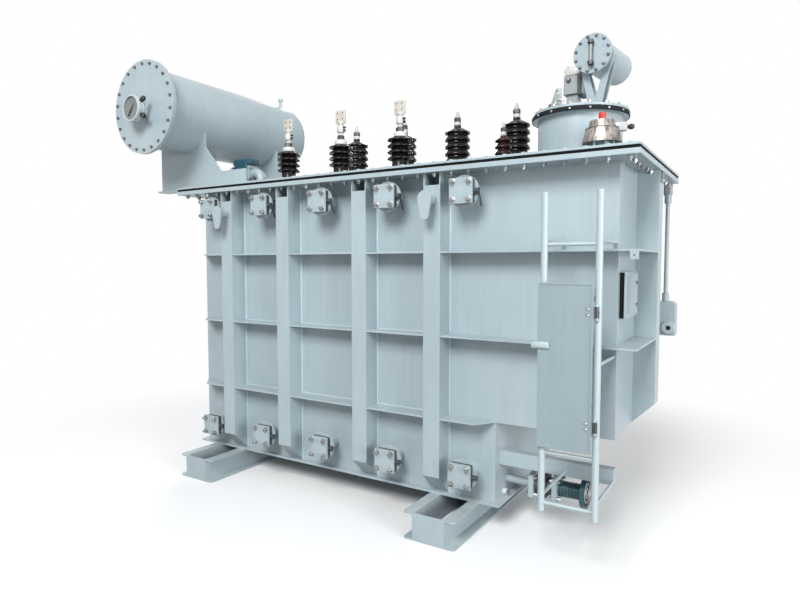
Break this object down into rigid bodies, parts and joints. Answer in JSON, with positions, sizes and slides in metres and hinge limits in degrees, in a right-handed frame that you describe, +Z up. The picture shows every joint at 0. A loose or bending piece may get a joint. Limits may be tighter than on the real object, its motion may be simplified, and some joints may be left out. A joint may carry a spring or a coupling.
{
  "type": "power transformer",
  "caption": "Oil-filled power transformer on base beams: ribbed tank, conservator, bushings, tap-changer turret, blanked radiator valves, ladder with hinged guard.",
  "frame": {"origin": "middle of the whole part's footprint, on the ground", "axes": "+X along the tank towards the tap-changer end, +Y from the low-voltage front to the back, +Z up"},
  "size_m": [4.3209, 2.021, 3.492],
  "materials": {
    "tank_paint": "semi-gloss enamel",
    "base_paint": "semi-gloss enamel",
    "ladder_paint": "semi-gloss enamel",
    "box_paint": "semi-gloss enamel",
    "drive_paint": "semi-gloss enamel",
    "gasket_rubber": "matt",
    "dark_porcelain": "glossy glaze",
    "brown_porcelain": "glossy glaze",
    "tinned_metal": "tinned",
    "cast_fittings": "painted casting",
    "teal_enamel": "gloss enamel",
    "valve_iron": "dark casting",
    "gauge_alloy": "satin",
    "stainless_hood": "spun stainless steel",
    "red_button": "gloss",
    "sight_tube": "clear-coated tube",
    "bare_shaft": "zinc plated"
  },
  "bodies": {
    "transformer": {"back_ribs": "tank_paint", "back_uprights": "tank_paint", "back_wall": "tank_paint", "base_beam_left": "base_paint", "base_beam_right": "base_paint", "bay_floor": "tank_paint", "bevel_gearbox": "drive_paint", "blank_plates": "tank_paint", "clamp_rings": "cast_fittings", "conservator_dished_end": "tank_paint", "conservator_end_disc": "tank_paint", "conservator_saddles": "tank_paint", "conservator_shell": "tank_paint", "cover": "tank_paint", "cover_gasket": "gasket_rubber", "drive_shaft": "bare_shaft", "end_uprights": "tank_paint", "front_ribs": "tank_paint", "front_uprights": "tank_paint", "front_wall": "tank_paint", "gas_relay": "teal_enamel", "hv_insulators": "dark_porcelain", "hv_terminals": "tinned_metal", "instrument_box": "box_paint", "ladder_bracket": "ladder_paint", "ladder_rungs": "ladder_paint", "ladder_standoffs": "ladder_paint", "ladder_stiles": "ladder_paint", "left_end_wall": "tank_paint", "lifting_trunnions": "tank_paint", "lower_end_wall": "tank_paint", "lv_insulators": "dark_porcelain", "lv_terminals": "tinned_metal", "motor_drive": "drive_paint", "neutral_insulator": "brown_porcelain", "oil_level_gauge": "gauge_alloy", "pump_fan_cover": "teal_enamel", "pump_motor": "teal_enamel", "pump_pipe": "tank_paint", "pump_valve": "valve_iron", "radiator_stubs": "tank_paint", "radiator_valves": "valve_iron", "relay_pipes": "tank_paint", "relief_valve_body": "cast_fittings", "relief_valve_button": "red_button", "relief_valve_hood": "stainless_hood", "right_end_wall": "tank_paint", "sight_glass": "sight_tube", "small_conservator_disc": "tank_paint", "small_conservator_end": "tank_paint", "small_conservator_shell": "tank_paint", "small_conservator_stands": "tank_paint", "tank_flange": "tank_paint", "tank_floor": "tank_paint", "tap_changer_gearbox": "drive_paint", "tap_changer_head": "tank_paint", "tap_changer_turret": "tank_paint", "vent_plug": "cast_fittings"},
    "guard": {"ladder_guard": "ladder_paint"}
  },
  "joints": [
    {"name": "guard_swing", "type": "hinge", "parent": "transformer", "child": "guard", "pos_m": [2.0005, -0.9015, 1.2], "axis": [0, 0, 1], "range_deg": [0, 150]}
  ]
}
